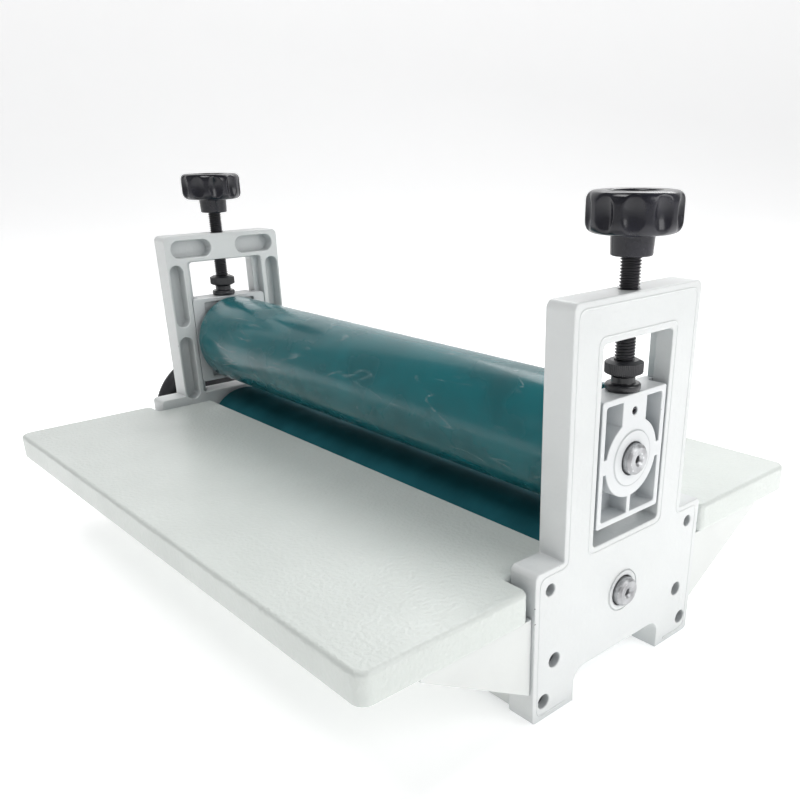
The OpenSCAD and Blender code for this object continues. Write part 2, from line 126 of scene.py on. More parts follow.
def newGroup(name, inputs, outputs):
    tree = bpy.data.node_groups.new(name, "ShaderNodeTree")
    for label, kind, value in inputs:
        socket = tree.interface.new_socket(name=label, in_out="INPUT", socket_type="NodeSocket" + kind)
        socket.default_value = value
    for label, kind in outputs:
        tree.interface.new_socket(name=label, in_out="OUTPUT", socket_type="NodeSocket" + kind)
    return tree, tree.nodes.new("NodeGroupInput").outputs, tree.nodes.new("NodeGroupOutput")


def useGroup(tree, group, values):
    node = tree.nodes.new("ShaderNodeGroup")
    node.node_tree = group
    setInputs(tree, node, values)
    return node.outputs


def objectPoint(tree):
    return tree.nodes.new("ShaderNodeTexCoord").outputs["Object"]


# ---- effects that several finishes share

# sprayed or powder-coated paint: blotches, orange peel, specks of dirt and small pits
def makePaintSkin():
    tree, given, result = newGroup("paintSkin", [
        ("Colour", "Color", (0.8, 0.8, 0.8, 1)),
        ("Blotch", "Float", 0.05),
        ("Peel Scale", "Float", 500.0),
        ("Speck Share", "Float", 0.02),
        ("Speck Colour", "Color", (0.2, 0.19, 0.18, 1)),
    ], [("Colour", "Color"), ("Roughness Shift", "Float"), ("Height", "Float")])
    point = objectPoint(tree)
    clouds = addNode(tree, "ShaderNodeTexNoise", {"Vector": point, "Scale": 22.0, "Detail": 4.0})
    shade = spread(tree, clouds.outputs[0], 0.3, 0.7)
    darker = maths(tree, "SUBTRACT", 1.0, maths(tree, "MULTIPLY", shade, given["Blotch"]))
    tint = addNode(tree, "ShaderNodeCombineColor", {"Red": darker, "Green": darker, "Blue": darker})
    colour = mixColour(tree, 1.0, given["Colour"], tint.outputs[0], "MULTIPLY")
    peel = addNode(tree, "ShaderNodeTexNoise",
                   {"Vector": point, "Scale": given["Peel Scale"], "Detail": 1.5, "Roughness": 0.4})
    fineScale = maths(tree, "MULTIPLY", given["Peel Scale"], 3.2)
    fine = addNode(tree, "ShaderNodeTexNoise", {"Vector": point, "Scale": fineScale, "Detail": 1.0})
    cells = addNode(tree, "ShaderNodeTexVoronoi", {"Vector": point, "Scale": 90.0})
    draw = addNode(tree, "ShaderNodeSeparateColor", {"Color": cells.outputs["Color"]}).outputs[0]
    chosen = maths(tree, "LESS_THAN", draw, given["Speck Share"])
    core = maths(tree, "LESS_THAN", cells.outputs["Distance"], 0.045)
    speck = maths(tree, "MULTIPLY", chosen, core)
    setInputs(tree, result, {
        "Colour": mixColour(tree, speck, colour, given["Speck Colour"]),
        "Roughness Shift": spread(tree, clouds.outputs[0], 0.3, 0.7, -0.04, 0.05),
        "Height": maths(tree, "SUBTRACT", maths(
            tree, "ADD", peel.outputs[0], maths(tree, "MULTIPLY", fine.outputs[0], 0.22)), speck),
    })
    return tree


# wear on the rounded edges that a piece's mesh marks as such
def makeEdgeWear():
    tree, given, result = newGroup("edgeWear", [
        ("Colour", "Color", (0.8, 0.8, 0.8, 1)),
        ("Worn Colour", "Color", (0.3, 0.3, 0.3, 1)),
        ("Share", "Float", 0.1),
        ("Chip Scale", "Float", 300.0),
    ], [("Colour", "Color"), ("Mask", "Float")])
    edge = addNode(tree, "ShaderNodeAttribute", attribute_name="edgeFace").outputs["Fac"]
    chips = addNode(tree, "ShaderNodeTexNoise",
                    {"Vector": objectPoint(tree), "Scale": given["Chip Scale"], "Detail": 3.0})
    limit = spread(tree, given["Share"], 0.0, 1.0, 0.82, 0.25)
    mask = maths(tree, "MULTIPLY", edge, maths(tree, "GREATER_THAN", chips.outputs[0], limit))
    setInputs(tree, result, {"Colour": mixColour(tree, mask, given["Colour"], given["Worn Colour"]),
                             "Mask": mask})
    return tree


# painted shade: the colour darkens toward a shade colour in inner corners and shallow pockets, wherever
# ambient occlusion finds them
def makeCornerShade():
    tree, given, result = newGroup("cornerShade", [
        ("Colour", "Color", (0.8, 0.8, 0.8, 1)),
        ("Shade Colour", "Color", (0.4, 0.42, 0.44, 1)),
        ("Amount", "Float", 0.8),
        ("Distance", "Float", 0.012),
    ], [("Colour", "Color")])
    around = addNode(tree, "ShaderNodeAmbientOcclusion", {"Distance": given["Distance"]}, samples=8)
    closeness = spread(tree, around.outputs["AO"], 0.35, 0.95, 1.0, 0.0)
    shut = maths(tree, "MULTIPLY", closeness, given["Amount"], clamp=True)
    setInputs(tree, result, {"Colour": mixColour(tree, shut, given["Colour"], given["Shade Colour"])})
    return tree


# fine lines left by turning or grinding about an axis along x at a given height
def makeTurnedLines():
    tree, given, result = newGroup("turnedLines", [
        ("Axis Height", "Float", 0.0),
        ("Line Scale", "Float", 3000.0),
        ("Patch Scale", "Float", 60.0),
    ], [("Lines", "Float"), ("Patches", "Float")])
    point = objectPoint(tree)
    apart = addNode(tree, "ShaderNodeSeparateXYZ", {"Vector": point}).outputs
    rise = maths(tree, "SUBTRACT", apart[2], given["Axis Height"])
    radius = maths(tree, "SQRT", maths(tree, "ADD", maths(tree, "MULTIPLY", rise, rise),
                                       maths(tree, "MULTIPLY", apart[1], apart[1])))
    along = addNode(tree, "ShaderNodeCombineXYZ", {"X": apart[0], "Y": radius})
    lines = addNode(tree, "ShaderNodeTexNoise", {"Vector": along.outputs[0], "Scale": given["Line Scale"],
                                                 "Detail": 2.0, "Roughness": 0.6})
    patches = addNode(tree, "ShaderNodeTexNoise",
                      {"Vector": point, "Scale": given["Patch Scale"], "Detail": 3.0})
    setInputs(tree, result, {"Lines": lines.outputs[0], "Patches": patches.outputs[0]})
    return tree


# dust and lint that settles on faces that look up
def makeDust():
    tree, given, result = newGroup("settledDust", [
        ("Colour", "Color", (0.05, 0.05, 0.05, 1)),
        ("Dust Colour", "Color", (0.45, 0.43, 0.40, 1)),
        ("Amount", "Float", 0.2),
        ("Grain Scale", "Float", 900.0),
    ], [("Colour", "Color"), ("Mask", "Float")])
    point = objectPoint(tree)
    up = addNode(tree, "ShaderNodeSeparateXYZ", {"Vector": tree.nodes.new(
        "ShaderNodeNewGeometry").outputs["Normal"]}).outputs[2]
    lying = spread(tree, up, 0.2, 1.0)
    clouds = addNode(tree, "ShaderNodeTexNoise", {"Vector": point, "Scale": 70.0, "Detail": 4.0})
    grains = addNode(tree, "ShaderNodeTexNoise",
                     {"Vector": point, "Scale": given["Grain Scale"], "Detail": 2.0})
    patch = spread(tree, clouds.outputs[0], 0.45, 0.7)
    grit = spread(tree, grains.outputs[0], 0.5, 0.66)
    cover = maths(tree, "MULTIPLY", maths(tree, "MULTIPLY", patch, grit), lying)
    mask = maths(tree, "MULTIPLY", cover, given["Amount"], clamp=True)
    setInputs(tree, result, {"Colour": mixColour(tree, mask, given["Colour"], given["Dust Colour"]),
                             "Mask": mask})
    return tree


# long soft creases in a film wound on a roller along x
def makeFilmCreases():
    tree, given, result = newGroup("filmCreases", [
        ("Stretch", "Float", 0.22),
        ("Crease Scale", "Float", 38.0),
    ], [("Height", "Float"), ("Creases", "Float")])
    point = objectPoint(tree)
    longer = addNode(tree, "ShaderNodeCombineXYZ", {"X": given["Stretch"], "Y": 1.0, "Z": 1.0})
    squeezed = addNode(tree, "ShaderNodeVectorMath",
                       {0: point, 1: longer.outputs[0]}, operation="MULTIPLY").outputs[0]
    swell = addNode(tree, "ShaderNodeTexNoise",
                    {"Vector": squeezed, "Scale": given["Crease Scale"], "Detail": 2.0, "Distortion": 0.6})
    ridge = maths(tree, "ABSOLUTE", maths(tree, "SUBTRACT", swell.outputs[0], 0.5))
    crease = spread(tree, ridge, 0.0, 0.014, 1.0, 0.0)
    small = addNode(tree, "ShaderNodeTexNoise",
                    {"Vector": squeezed, "Scale": maths(tree, "MULTIPLY", given["Crease Scale"], 4.0),
                     "Detail": 2.0, "Distortion": 1.0})
    setInputs(tree, result, {
        "Height": maths(tree, "ADD", swell.outputs[0], maths(tree, "MULTIPLY", small.outputs[0], 0.18)),
        "Creases": maths(tree, "MULTIPLY", crease, spread(tree, small.outputs[0], 0.45, 0.7)),
    })
    return tree


paintSkin = makePaintSkin()
edgeWear = makeEdgeWear()
cornerShade = makeCornerShade()
turnedLines = makeTurnedLines()
settledDust = makeDust()
filmCreases = makeFilmCreases()
print("shared effects made")


# ---- finishes

def newFinish(name, values):
    material = bpy.data.materials.new(name)
    material.use_nodes = True
    tree = material.node_tree
    shader = tree.nodes["Principled BSDF"]
    setInputs(tree, shader, values)
    return material, tree, shader


def bumpFrom(tree, height, depth, strength=1.0):
    node = addNode(tree, "ShaderNodeBump", {"Height": height, "Strength": strength, "Distance": depth})
    return node.outputs[0]


paintLook = {
    "castColour": (0.775, 0.795, 0.79, 1),
    "blockColour": (0.78, 0.80, 0.805, 1),
    "sheetColour": (0.78, 0.80, 0.78, 1),
    "tableColour": (0.735, 0.775, 0.74, 1),
    "primer": (0.16, 0.155, 0.15, 1),
    # colour of the painted shade in inner corners and pockets
    "shade": (0.30, 0.335, 0.36, 1),
}


def paintFinish(name, colour, roughness, peelScale, peelDepth, blotch, specks, wear, coat, shade):
    material, tree, shader = newFinish(name, {"Coat Weight": coat, "Coat Roughness": 0.12, "IOR": 1.5})
    skin = useGroup(tree, paintSkin, {"Colour": colour, "Blotch": blotch, "Peel Scale": peelScale,
                                      "Speck Share": specks})
    worn = useGroup(tree, edgeWear, {"Colour": skin["Colour"], "Worn Colour": paintLook["primer"],
                                     "Share": wear, "Chip Scale": 260.0})
    # painted shade in inner corners and pockets
    shaded = useGroup(tree, cornerShade, {"Colour": worn["Colour"], "Shade Colour": paintLook["shade"],
                                          "Amount": shade})
    rough = maths(tree, "ADD", skin["Roughness Shift"], roughness)
    setInputs(tree, shader, {"Base Color": shaded["Colour"], "Roughness": rough,
                             "Normal": bumpFrom(tree, skin["Height"], peelDepth)})
    return material


castPaint = paintFinish("castPaint", paintLook["castColour"],
                        roughness=0.36, peelScale=420.0, peelDepth=0.0002,
                        blotch=0.05, specks=0.012, wear=0.14, coat=0.35, shade=0.38)
blockPaint = paintFinish("blockPaint", paintLook["blockColour"],
                        roughness=0.38, peelScale=520.0, peelDepth=0.00005,
                        blotch=0.05, specks=0.012, wear=0.16, coat=0.3, shade=0.55)
sheetPaint = paintFinish("sheetPaint", paintLook["sheetColour"],
                        roughness=0.40, peelScale=620.0, peelDepth=0.00006,
                        blotch=0.05, specks=0.01, wear=0.14, coat=0.2, shade=0.5)
tablePaint = paintFinish("tablePaint", paintLook["tableColour"],
                        roughness=0.36, peelScale=440.0, peelDepth=0.0005,
                        blotch=0.05, specks=0.008, wear=0.12, coat=0.25, shade=0.4)


def metalFinish(name, colour, darker, roughness, axisZ, lineScale, bump, wear, shine):
    material, tree, shader = newFinish(name, {"Metallic": 1.0})
    marks = useGroup(tree, turnedLines,
                     {"Axis Height": axisZ, "Line Scale": lineScale, "Patch Scale": 160.0})
    tone = mixColour(tree, spread(tree, marks["Patches"], 0.35, 0.7), colour, darker)
    lined = mixColour(tree, maths(tree, "MULTIPLY", marks["Lines"], 0.35), tone, darker)
    worn = useGroup(tree, edgeWear,
                    {"Colour": lined, "Worn Colour": shine, "Share": wear, "Chip Scale": 500.0})
    rough = spread(tree, marks["Patches"], 0.3, 0.7, roughness - 0.07, roughness + 0.09)
    setInputs(tree, shader, {"Base Color": worn["Colour"], "Roughness": rough,
                             "Normal": bumpFrom(tree, marks["Lines"], bump)})
    return material


upperSteel = metalFinish("upperAxleSteel", (0.58, 0.59, 0.60, 1), (0.36, 0.36, 0.37, 1), 0.42,
                         upperZ, 2600.0, 0.00003, 0.4, (0.72, 0.73, 0.74, 1))
lowerSteel = metalFinish("lowerAxleSteel", (0.58, 0.59, 0.60, 1), (0.36, 0.36, 0.37, 1), 0.42,
                         lowerZ, 2600.0, 0.00003, 0.4, (0.72, 0.73, 0.74, 1))
coreSteel = metalFinish("coreSteel", (0.42, 0.42, 0.43, 1), (0.25, 0.24, 0.23, 1), 0.42,
                        upperZ, 1500.0, 0.00003, 0.3, (0.6, 0.6, 0.61, 1))
zincSteel = metalFinish("zincPlate", (0.60, 0.61, 0.62, 1), (0.44, 0.45, 0.45, 1), 0.36,
                        lowerZ, 900.0, 0.00002, 0.35, (0.75, 0.76, 0.76, 1))
blackenedScrew = metalFinish("blackenedScrew", (0.12, 0.12, 0.125, 1), (0.06, 0.06, 0.07, 1), 0.42,
                             lowerZ, 1200.0, 0.00002, 0.45, (0.42, 0.42, 0.43, 1))
sinteredBronze = metalFinish("sinteredBronze", (0.45, 0.32, 0.16, 1), (0.27, 0.18, 0.09, 1), 0.48,
                             upperZ, 700.0, 0.00006, 0.3, (0.62, 0.47, 0.27, 1))


def blackFinish(name, colour, roughness, grainScale, grainDepth, dust, coat, wear):
    material, tree, shader = newFinish(name, {"Coat Weight": coat, "Coat Roughness": 0.1, "IOR": 1.52})
    grain = addNode(tree, "ShaderNodeTexNoise",
                    {"Vector": objectPoint(tree), "Scale": grainScale, "Detail": 3.0})
    smear = addNode(tree, "ShaderNodeTexNoise", {"Vector": objectPoint(tree), "Scale": 55.0, "Detail": 3.0})
    lighter = tuple(min(1, c * 1.9 + 0.006) for c in colour[:3]) + (1,)
    base = mixColour(tree, spread(tree, smear.outputs[0], 0.42, 0.75), colour, lighter)
    dusty = useGroup(tree, settledDust, {"Colour": base, "Amount": dust})
    worn = useGroup(tree, edgeWear, {"Colour": dusty["Colour"], "Worn Colour": (0.16, 0.16, 0.165, 1),
                                     "Share": wear, "Chip Scale": 700.0})
    smeared = spread(tree, smear.outputs[0], 0.3, 0.75, roughness - 0.05, roughness + 0.12)
    rough = maths(tree, "ADD", smeared, maths(tree, "MULTIPLY", dusty["Mask"], 0.35))
    setInputs(tree, shader, {"Base Color": worn["Colour"], "Roughness": rough,
                             "Normal": bumpFrom(tree, grain.outputs[0], grainDepth)})
    return material


knobPlastic = blackFinish("knobPhenolic", (0.007, 0.007, 0.012, 1), 0.2, 260.0, 0.00004, 0.06, 0.0, 0.0)
wheelPlastic = blackFinish("wheelPhenolic", (0.010, 0.010, 0.013, 1), 0.32, 300.0, 0.00004, 0.14, 0.2, 0.1)
gripPlastic = blackFinish("gripPhenolic", (0.018, 0.018, 0.021, 1), 0.3, 500.0, 0.00005, 0.2, 0.3, 0.1)
oiledSteel = blackFinish("oiledBlackSteel", (0.010, 0.010, 0.013, 1), 0.32, 1500.0, 0.00003, 0.08, 0.3, 0.4)

rubberLook = {
    "wrapped": (0.003, 0.150, 0.172, 1),
    "bare": (0.016, 0.125, 0.155, 1),
    "chalky": (0.05, 0.16, 0.165, 1),
}


def rubberFinish(name, colour, axisZ, roughness, coat, specular):
    material, tree, shader = newFinish(name, {"Coat Weight": coat, "Coat Roughness": 0.1, "IOR": 1.5,
                                              "Specular IOR Level": specular})
    marks = useGroup(tree, turnedLines, {"Axis Height": axisZ, "Line Scale": 1800.0, "Patch Scale": 30.0})
    tone = mixColour(tree, spread(tree, marks["Patches"], 0.35, 0.7), colour,
                    tuple(c * 0.68 for c in colour[:3]) + (1,))
    chalk = maths(tree, "MULTIPLY", spread(tree, marks["Lines"], 0.5, 0.8), 0.16)
    ground = mixColour(tree, chalk, tone, rubberLook["chalky"])
    rough = spread(tree, marks["Patches"], 0.3, 0.7, roughness - 0.06, roughness + 0.08)
    setInputs(tree, shader, {"Base Color": ground, "Roughness": rough,
                             "Normal": bumpFrom(tree, marks["Lines"], 0.00002)})
    return material


filmLook = {
    "clear": (0.50, 0.66, 0.68, 1),
    "baseAlpha": 0.01,
    # how opaque the film gets along its creases; the pale streaks there are painted glints
    "creaseGlintAlpha": 0.4,
}


def filmFinish():
    material, tree, shader = newFinish("clearFilm", {"Base Color": filmLook["clear"], "IOR": 1.5})
    creases = useGroup(tree, filmCreases, {"Stretch": 0.2, "Crease Scale": 42.0})
    facing = addNode(tree, "ShaderNodeLayerWeight", {"Blend": 0.35}).outputs["Facing"]
    # the film shows its pale colour along its real creases, as painted glints, and a little more toward
    # grazing angles, as a painted sheen
    veilGlintsAndSheen = maths(tree, "ADD", spread(tree, creases["Creases"], 0.0, 1.0,
                                     filmLook["baseAlpha"], filmLook["creaseGlintAlpha"]),
                 maths(tree, "MULTIPLY", facing, 0.03), clamp=True)
    setInputs(tree, shader, {
        "Alpha": veilGlintsAndSheen,
        "Roughness": spread(tree, creases["Height"], 0.3, 0.8, 0.06, 0.16),
        "Normal": bumpFrom(tree, creases["Height"], 0.0011, 0.7),
    })
    return material


wrappedRubber = rubberFinish("wrappedRubber", rubberLook["wrapped"], upperZ, 0.25, 0.3, 0.3)
bareRubber = rubberFinish("bareRubber", rubberLook["bare"], lowerZ, 0.7, 0.0, 0.06)
clearFilm = filmFinish()
print("finishes made")


# ---- mesh helpers

def finishPiece(name, mesh, material, body, nodes=(), sharpAngle=35):
    mesh.materials.clear()
    mesh.materials.append(material)
    mesh.shade_smooth()
    mesh.set_sharp_from_angle(angle=math.radians(sharpAngle))
    piece = bpy.data.objects.new(name, mesh)
    bpy.context.scene.collection.objects.link(piece)
    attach(piece, body)
    if nodes:
        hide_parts(*nodes)
    return piece


def meshFrom(shape, name):
    bmesh.ops.recalc_face_normals(shape, faces=shape.faces)
    mesh = bpy.data.meshes.new(name)
    shape.to_mesh(mesh)
    shape.free()
    return mesh


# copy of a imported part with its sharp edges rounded, and those edges marked for wear
def roundedCopy(node, width, segments=3, sharper=32):
    shape = bmesh.new()
    shape.from_mesh(frame["nodes"][node].data)
    bmesh.ops.remove_doubles(shape, verts=shape.verts, dist=0.000004)
    bmesh.ops.dissolve_limit(shape, angle_limit=math.radians(0.6), verts=shape.verts, edges=shape.edges)
    mark = shape.faces.layers.float.new("edgeFace")
    edges = [e for e in shape.edges
             if len(e.link_faces) == 2 and e.calc_face_angle(0) > math.radians(sharper)]
    made = bmesh.ops.bevel(shape, geom=edges, offset=width, segments=segments, profile=0.5,
                           affect="EDGES", clamp_overlap=False)
    for face in made["faces"]:
        face[mark] = 1.0
    return meshFrom(shape, node + "Mesh")


def roundedPiece(name, node, width, material, segments=3, sharper=32):
    body = frame["nodes"][node]["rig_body"]
    mesh = roundedCopy(node, width, segments, sharper)
    piece = finishPiece(name, mesh, material, body, [node], 50)
    piece.modifiers.new("evenShading", "WEIGHTED_NORMAL").keep_sharp = True
    return piece


# corner points turned into short arcs: each point is (along, radius, rounding)
def roundCorners(points, steps=5):
    smooth = []
    for i, (along, radius, rounding) in enumerate(points):
        here = Vector((along, radius))
        if rounding == 0 or i in (0, len(points) - 1):
            smooth.append((along, radius))
            continue
        before = Vector(points[i - 1][:2]) - here
        after = Vector(points[i + 1][:2]) - here
        half = before.angle(after) / 2
        reach = min(rounding / math.tan(half), before.length * 0.49, after.length * 0.49)
        start = here + before.normalized() * reach
        end = here + after.normalized() * reach
        for step in range(steps + 1):
            t = step / steps
            smooth.append(tuple(start * (1 - t) ** 2 + here * 2 * t * (1 - t) + end * t ** 2))
    return smooth


# solid of revolution from (along, radius) points; frameOf maps (along, across, up) to a place
def turnedShape(shape, profile, place, segments=96, closed=False):
    rings = []
    for along, radius in profile:
        if radius < 1e-7:
            rings.append([shape.verts.new(place(along, 0, 0))])
            continue
        angles = [turn * i / segments for i in range(segments)]
        rings.append([shape.verts.new(place(along, radius * math.cos(a), radius * math.sin(a)))
                      for a in angles])
    pairs = list(zip(rings, rings[1:]))
    if closed:
        pairs.append((rings[-1], rings[0]))
    for low, high in pairs:
        for i in range(segments):
            j = (i + 1) % segments
            corners = [low[i % len(low)], low[j % len(low)], high[j % len(high)], high[i % len(high)]]
            unique = list(dict.fromkeys(corners))
            if len(unique) > 2:
                shape.faces.new(unique)


def alongX(centreX, axisZ, side=1):
    return lambda along, across, up: Vector((centreX + side * along, across, axisZ + up))


def alongZ(centreX, baseZ):
    return lambda along, across, up: Vector((centreX + across, up, baseZ + along))


print("mesh helpers ready")


# ---- cast end frames

castLook = {
    "edgeRound": 0.7 * mm,         # the wall beside the side pockets is 1.7 mm
    "ringProud": 0.6 * mm,        # the ring round the lower bore, over the outer face
    "lineIn": 3.4 * mm,           # how far the raised line lies inside the outline
    "lineRadius": 0.7 * mm,
    "lineProud": 0.32 * mm,
    "columnHalf": 48.5 * mm,
    "shoulder": 86.5 * mm,
    "windowHalf": 27 * mm,
    "windowFoot": 87 * mm,
    "windowTop": 189 * mm,
    "footInner": 44 * mm,
    "cornerRound": 5 * mm,
}


# path in y and z whose corners are rounded; each corner is (y, z, rounding)
def roundedPath(corners, closed, steps=6):
    path = []
    count = len(corners)
    for i, (y, z, rounding) in enumerate(corners):
        here = Vector((y, z))
        if rounding == 0:
            path.append(here)
            continue
        before = (Vector(corners[i - 1][:2]) - here).normalized()
        after = (Vector(corners[(i + 1) % count][:2]) - here).normalized()
        start = here + before * rounding
        end = here + after * rounding
        for step in range(steps + 1):
            t = step / steps
            path.append(start * (1 - t) ** 2 + here * 2 * t * (1 - t) + end * t ** 2)
    return path


# thin half-sunk bead along paths in y and z, on a face at a given x
def beadMesh(name, paths, closed, x, radius):
    curve = bpy.data.curves.new(name, "CURVE")
    curve.dimensions = "3D"
    curve.bevel_depth = radius
    curve.bevel_resolution = 3
    curve.use_fill_caps = not closed
    for path in paths:
        spline = curve.splines.new("POLY")
        spline.points.add(len(path) - 1)
        for point, place in zip(spline.points, path):
            point.co = (x, place.x, place.y, 1)
        spline.use_cyclic_u = closed
    holder = bpy.data.objects.new(name, curve)
    bpy.context.scene.collection.objects.link(holder)
    mesh = bpy.data.meshes.new_from_object(holder)
    bpy.data.objects.remove(holder)
    return mesh


def makeFrameLines(word, side, faceX):
    look = castLook
    inset = look["lineIn"]
    corner = look["cornerRound"]
    top = rightHigh.z - inset
    column = look["columnHalf"] - inset
    shoulder = look["shoulder"] - inset
    base = rightHigh.y - inset
    outline = [(0, top, 0), (column, top, corner), (column, shoulder, corner), (base, shoulder, corner),
               (base, inset, corner), (look["footInner"], inset, 0)]
    mirrored = [(-y, z, rounding) for y, z, rounding in outline]
    half = look["windowHalf"] + inset
    foot = look["windowFoot"] - inset
    head = look["windowTop"] + inset
    window = [(-half, foot, corner), (half, foot, corner), (half, head, corner), (-half, head, corner)]
    x = faceX - side * (look["lineRadius"] - look["lineProud"])
    outer = beadMesh("outlineLine", [roundedPath(outline, False), roundedPath(mirrored, False)], False,
                     x, look["lineRadius"])
    inner = beadMesh("windowLine", [roundedPath(window, True)], True, x, look["lineRadius"])
    finishPiece(word + "FrameOutlineLine", outer, castPaint, "frame", ())
    finishPiece(word + "FrameWindowLine", inner, castPaint, "frame", ())


for word, side, node, faceX in (("right", 1, "right_frame", rightHigh.x - castLook["ringProud"]),
                                ("left", -1, "left_frame", leftLow.x + castLook["ringProud"])):
    roundedPiece(word + "FrameCasting", node, castLook["edgeRound"], castPaint)
    makeFrameLines(word, side, faceX)
print("end frames cast")


# ---- folded sheet tables

tableLook = {
    "bend": 2.8 * mm,             # outer radius of the folded edges
    "lipBend": 2.0 * mm,
    "lip": 12 * mm,
    "cornerRound": 7 * mm,
    "notchRound": 1.2 * mm,
    "notchCorner": 6 * mm,
    "thickness": 1.5 * mm,
    "skirtStops": 46 * mm,        # the tongue has no skirt nearer the rollers than this
    "notchGap": 3 * mm,
}


# the outline moved inwards; each corner is (x, y, rounding) and every edge runs along x or y
def insetLoop(corners, inset, steps=6):
    loop = []
    for i, (x, y, rounding) in enumerate(corners):
        here = Vector((x, y))
        come = (here - Vector(corners[i - 1][:2])).normalized()
        leave = (Vector(corners[(i + 1) % len(corners)][:2]) - here).normalized()
        inCome = Vector((-come.y, come.x))
        inLeave = Vector((-leave.y, leave.x))
        bending = come.x * leave.y - come.y * leave.x
        if abs(bending) < 0.01:
            loop.append(here + inCome * inset)
            continue
        size = max(rounding - inset, 0.15 * mm) if bending > 0 else rounding + inset
        centre = here + (inCome + inLeave) * inset + (leave - come) * size
        for step in range(steps + 1):
            angle = math.pi / 2 * step / steps
            loop.append(centre - leave * size * math.cos(angle) + come * size * math.sin(angle))
    return loop


def makeTable(word, node, ySide):
    look = tableLook
    low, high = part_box(node)
    reach = max(abs(low.y), abs(high.y))
    back = min(abs(low.y), abs(high.y))
    half = (high.x - low.x) / 2
    tongue = innerX - 0.1 * mm
    wideBack = rightHigh.y + look["notchGap"]
    bend, lipBend = look["bend"], look["lipBend"]
    corner, notch = look["cornerRound"], look["notchRound"]
    tail = back - bend            # the flat top is cut off at the back, so its loop starts a bend further
    corners = [(-half, -reach, corner), (half, -reach, corner), (half, -wideBack, look["notchCorner"]),
               (tongue, -wideBack, notch), (tongue, -look["skirtStops"], 0),
               (tongue, -tail, bend + 0.2 * mm),
               (-tongue, -tail, bend + 0.2 * mm), (-tongue, -look["skirtStops"], 0),
               (-tongue, -wideBack, notch), (-half, -wideBack, look["notchCorner"])]
    rings = []
    steps = 6
    for step in range(steps + 1):
        angle = math.pi / 2 * step / steps
        rings.append((bend * (1 - math.sin(angle)), high.z - bend * (1 - math.cos(angle))))
    for step in range(steps + 1):
        angle = math.pi / 2 * step / steps
        rings.append((lipBend * (1 - math.cos(angle)), low.z + lipBend * (1 - math.sin(angle))))
    rings.append((look["lip"], low.z))
    shape = bmesh.new()
    loops = [[shape.verts.new((middleX + p.x, p.y * -ySide, z)) for p in insetLoop(corners, inset)]
             for inset, z in rings]
    shape.faces.new(loops[0])
    count = len(loops[0])
    for upper, lower in zip(loops, loops[1:]):
        for i in range(count):
            j = (i + 1) % count
            place = (upper[i].co + upper[j].co + lower[i].co + lower[j].co) / 4
            pastSkirt = abs(place.y) < look["skirtStops"] - 0.1 * mm
            onTongue = abs(place.y) < wideBack + 0.2 * mm and place.z < low.z + 1.7 * mm
            onTongueSide = abs(place.x - middleX) > tongue - look["lip"] - mm
            if pastSkirt or (onTongue and onTongueSide and abs(place.y) < wideBack):
                continue
            shape.faces.new((upper[i], upper[j], lower[j], lower[i]))
    bmesh.ops.delete(shape, geom=[v for v in shape.verts if not v.link_faces], context="VERTS")
    mesh = meshFrom(shape, node + "Mesh")
    piece = finishPiece(word + "TableSheet", mesh, tablePaint, "frame", [node], 60)
    sheet = piece.modifiers.new("sheetThickness", "SOLIDIFY")
    sheet.thickness = look["thickness"]
    sheet.offset = -1
    sheet.use_even_offset = True
    piece.modifiers.new("evenShading", "WEIGHTED_NORMAL").keep_sharp = True


makeTable("front", "front_table", 1)
makeTable("rear", "rear_table", -1)
print("tables folded")


# ---- brackets, cross members and fasteners

smallLook = {
    "bracketRound": 0.5 * mm,
    "memberRound": 0.35 * mm,
    "screwRound": 0.22 * mm,
    "nutRound": 0.18 * mm,
    "bushRound": 0.3 * mm,
}

for word in ("front", "rear"):
    for sideWord in ("right", "left"):
        roundedPiece(word + sideWord.capitalize() + "Gusset", f"{word}_{sideWord}_bracket",
                     smallLook["bracketRound"], sheetPaint)
    roundedPiece(word + "CrossSheet", f"{word}_cross_member",
                 smallLook["memberRound"], sheetPaint)
for name, node, width, finish, slotName in (
        ("frameSocketScrews", "frame_screws", "screwRound", blackenedScrew, "black_oxide_screw"),
        ("frameHexNuts", "frame_nuts", "nutRound", zincSteel, "zinc_steel"),
        ("tableSocketScrews", "table_screws", "screwRound", blackenedScrew, "black_oxide_screw"),
        ("tableHexNuts", "table_nuts", "nutRound", zincSteel, "zinc_steel"),
        ("gussetFrameScrews", "bracket_frame_screws", "screwRound", zincSteel, "zinc_steel"),
        ("gussetTableScrews", "bracket_table_screws", "screwRound", zincSteel, "zinc_steel"),
        ("gussetHexNuts", "bracket_table_nuts", "nutRound", zincSteel, "zinc_steel"),
        ("hubGrubScrew", "hub_set_screw", "nutRound", blackenedScrew, "black_oxide_screw"),
        ("rightBlockGrubScrew", "right_retaining_screw", "nutRound", blackenedScrew, "black_oxide_screw"),
        ("leftBlockGrubScrew", "left_retaining_screw", "nutRound", blackenedScrew, "black_oxide_screw"),
        ("wheelWasher", "wheel_washer", "bushRound", zincSteel, "zinc_steel"),
        ("wheelCapScrew", "wheel_screw", "screwRound", zincSteel, "zinc_steel"),
        ("handleShoulderBolt", "handle_bolt", "bushRound", zincSteel, "zinc_steel")):
    roundedPiece(name, node, smallLook[width], finish, 2)
for word in ("right", "left"):
    for level in ("lower", "upper"):
        roundedPiece(f"{word}{level.capitalize()}FlangedBush", f"{word}_{level}_bush",
                     smallLook["bushRound"], sinteredBronze, 2)
print("small parts rounded")


# ---- sliding bearing blocks

blockLook = {
    "edgeRound": 0.55 * mm,
}

for word in ("right", "left"):
    roundedPiece(word + "BlockCasting", f"{word}_bearing_block", blockLook["edgeRound"],
                 blockPaint)
print("bearing blocks cast")


# ---- rollers

rollerLook = {
    "edgeRound": 0.9 * mm,
    "segments": 128,
    "filmLift": 0.07 * mm,
    "creaseHeight": 0.14 * mm,
    "filmPast": 0.5 * mm,         # how far the film stands past the rubber's ends
    "filmFold": 2.2 * mm,         # how far its edge folds in over the end faces
    "filmRows": 150,
    "filmAround": 220,
}


